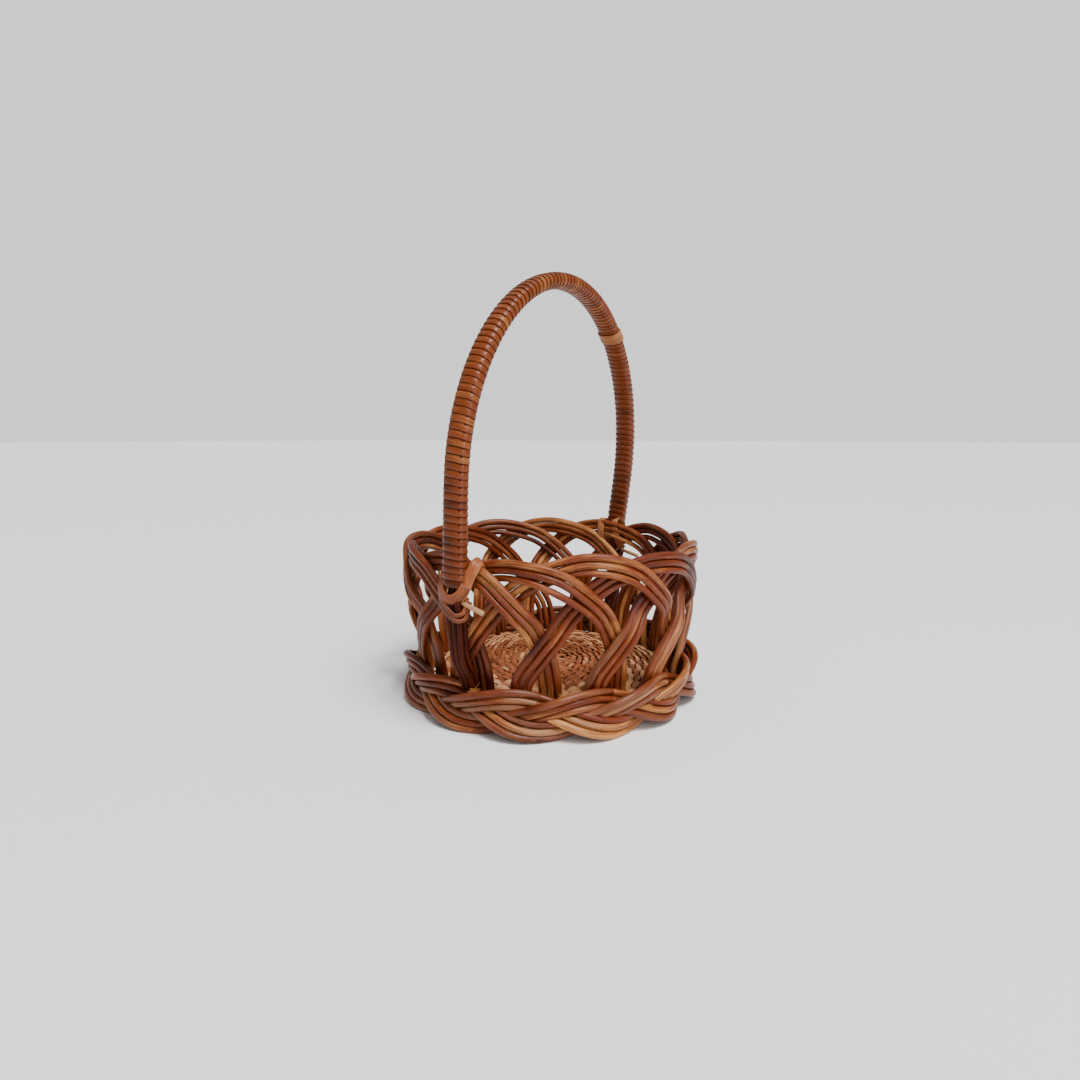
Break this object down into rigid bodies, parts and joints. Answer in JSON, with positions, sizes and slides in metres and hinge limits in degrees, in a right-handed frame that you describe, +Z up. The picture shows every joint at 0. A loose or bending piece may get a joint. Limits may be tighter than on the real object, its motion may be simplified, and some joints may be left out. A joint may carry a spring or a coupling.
{
  "type": "fruit basket",
  "caption": "Round open-work willow basket of overlapping arches on a plaited foot, with a tall fixed bow handle wound in flat cane, for fruit or gifts.",
  "frame": {"origin": "on the table under the middle of the basket, at the bottom centre of the whole part", "axes": "+Z up; the handle's bow stands over the X axis with a leg at -X and one at +X; +Y across the handle"},
  "size_m": [0.2414, 0.2198, 0.3059],
  "materials": {
    "arch_cane": "stained willow, satin",
    "foot_cane": "stained willow, satin",
    "base_cane": "split willow, matt",
    "base_stick_wood": "peeled willow, matt",
    "handle_rod_wood": "stained willow, satin",
    "winding_cane": "flat cane, glossy varnish",
    "tie_cane": "flat cane, satin",
    "peg_wood": "peeled wood, matt"
  },
  "bodies": {
    "root": {"arch_1": "arch_cane", "arch_2": "arch_cane", "arch_3": "arch_cane", "arch_4": "arch_cane", "arch_5": "arch_cane", "arch_6": "arch_cane", "arch_7": "arch_cane", "arch_8": "arch_cane", "arch_9": "arch_cane", "arch_10": "arch_cane", "arch_11": "arch_cane", "arch_12": "arch_cane", "arch_13": "arch_cane", "foot_strand_1": "foot_cane", "foot_strand_2": "foot_cane", "foot_strand_3": "foot_cane", "foot_strand_4": "foot_cane", "foot_strand_5": "foot_cane", "foot_strand_6": "foot_cane", "foot_strand_7": "foot_cane", "foot_strand_8": "foot_cane", "foot_strand_9": "foot_cane", "foot_strand_10": "foot_cane", "foot_strand_11": "foot_cane", "foot_strand_12": "foot_cane", "foot_strand_13": "foot_cane", "base_weave": "base_cane", "base_stick_1": "base_stick_wood", "base_stick_2": "base_stick_wood", "base_stick_3": "base_stick_wood", "base_stick_4": "base_stick_wood", "base_stick_5": "base_stick_wood", "base_stick_6": "base_stick_wood", "base_stick_7": "base_stick_wood", "base_stick_8": "base_stick_wood", "handle_rod_1": "handle_rod_wood", "handle_rod_2": "handle_rod_wood", "handle_rod_3": "handle_rod_wood", "handle_rod_4": "handle_rod_wood", "handle_rod_5": "handle_rod_wood", "handle_rod_6": "handle_rod_wood", "handle_winding": "winding_cane", "handle_splice_ring": "winding_cane", "tie_near": "tie_cane", "tie_far_right": "tie_cane", "tie_far_left": "tie_cane", "peg_near": "peg_wood", "peg_far": "peg_wood"}
  },
  "joints": []
}
